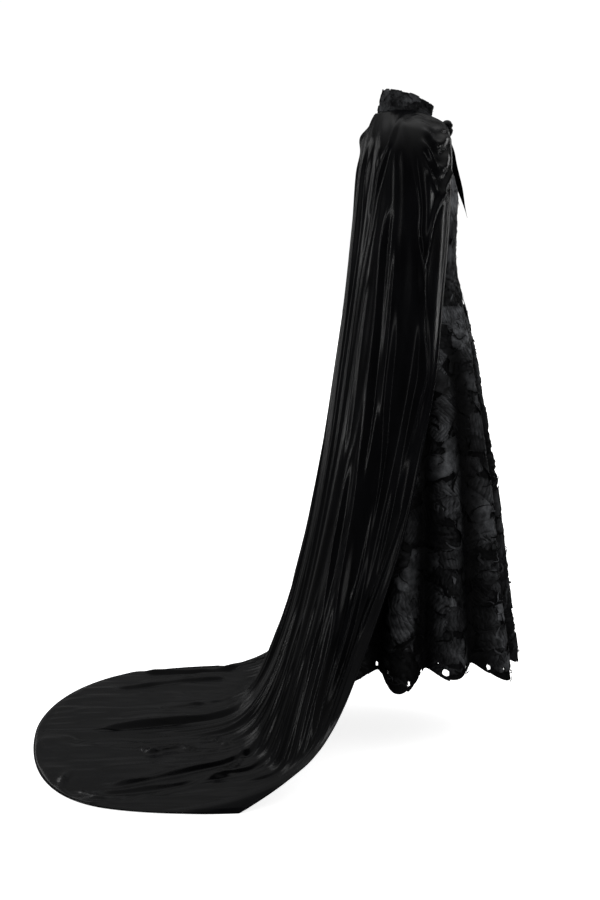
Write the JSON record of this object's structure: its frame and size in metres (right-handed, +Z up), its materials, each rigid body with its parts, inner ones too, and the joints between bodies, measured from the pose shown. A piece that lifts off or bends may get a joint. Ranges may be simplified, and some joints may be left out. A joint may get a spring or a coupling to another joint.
{
  "type": "witch costume",
  "caption": "High-necked sleeveless net dress covered in tucked strips, with a long velvet cape tied at the throat that spreads into a round train.",
  "frame": {"origin": "middle of the seam between stand collar and bodice, where the wearer's neck and shoulders hold the costume up", "axes": "+X to the wearer's left, -Y to the front, +Z up"},
  "size_m": [1.2973, 1.1733, 1.5337],
  "materials": {
    "net_strips": "matt black net covered in raised strips of black cloth",
    "velvet": "black stretch velvet with a soft silvery sheen along its folds"
  },
  "bodies": {
    "root": {"stand_collar": "net_strips", "bodice_front": "net_strips", "bodice_back_left": "net_strips", "bodice_back_right": "net_strips", "skirt_front": "net_strips", "skirt_side_front_left": "net_strips", "skirt_side_back_left": "net_strips", "skirt_back_left": "net_strips", "skirt_back_right": "net_strips", "skirt_side_back_right": "net_strips", "skirt_side_front_right": "net_strips", "cape_left": "velvet", "cape_right": "velvet", "tie_knot": "velvet", "tie_end_right": "velvet", "tie_end_left": "velvet"}
  },
  "joints": []
}
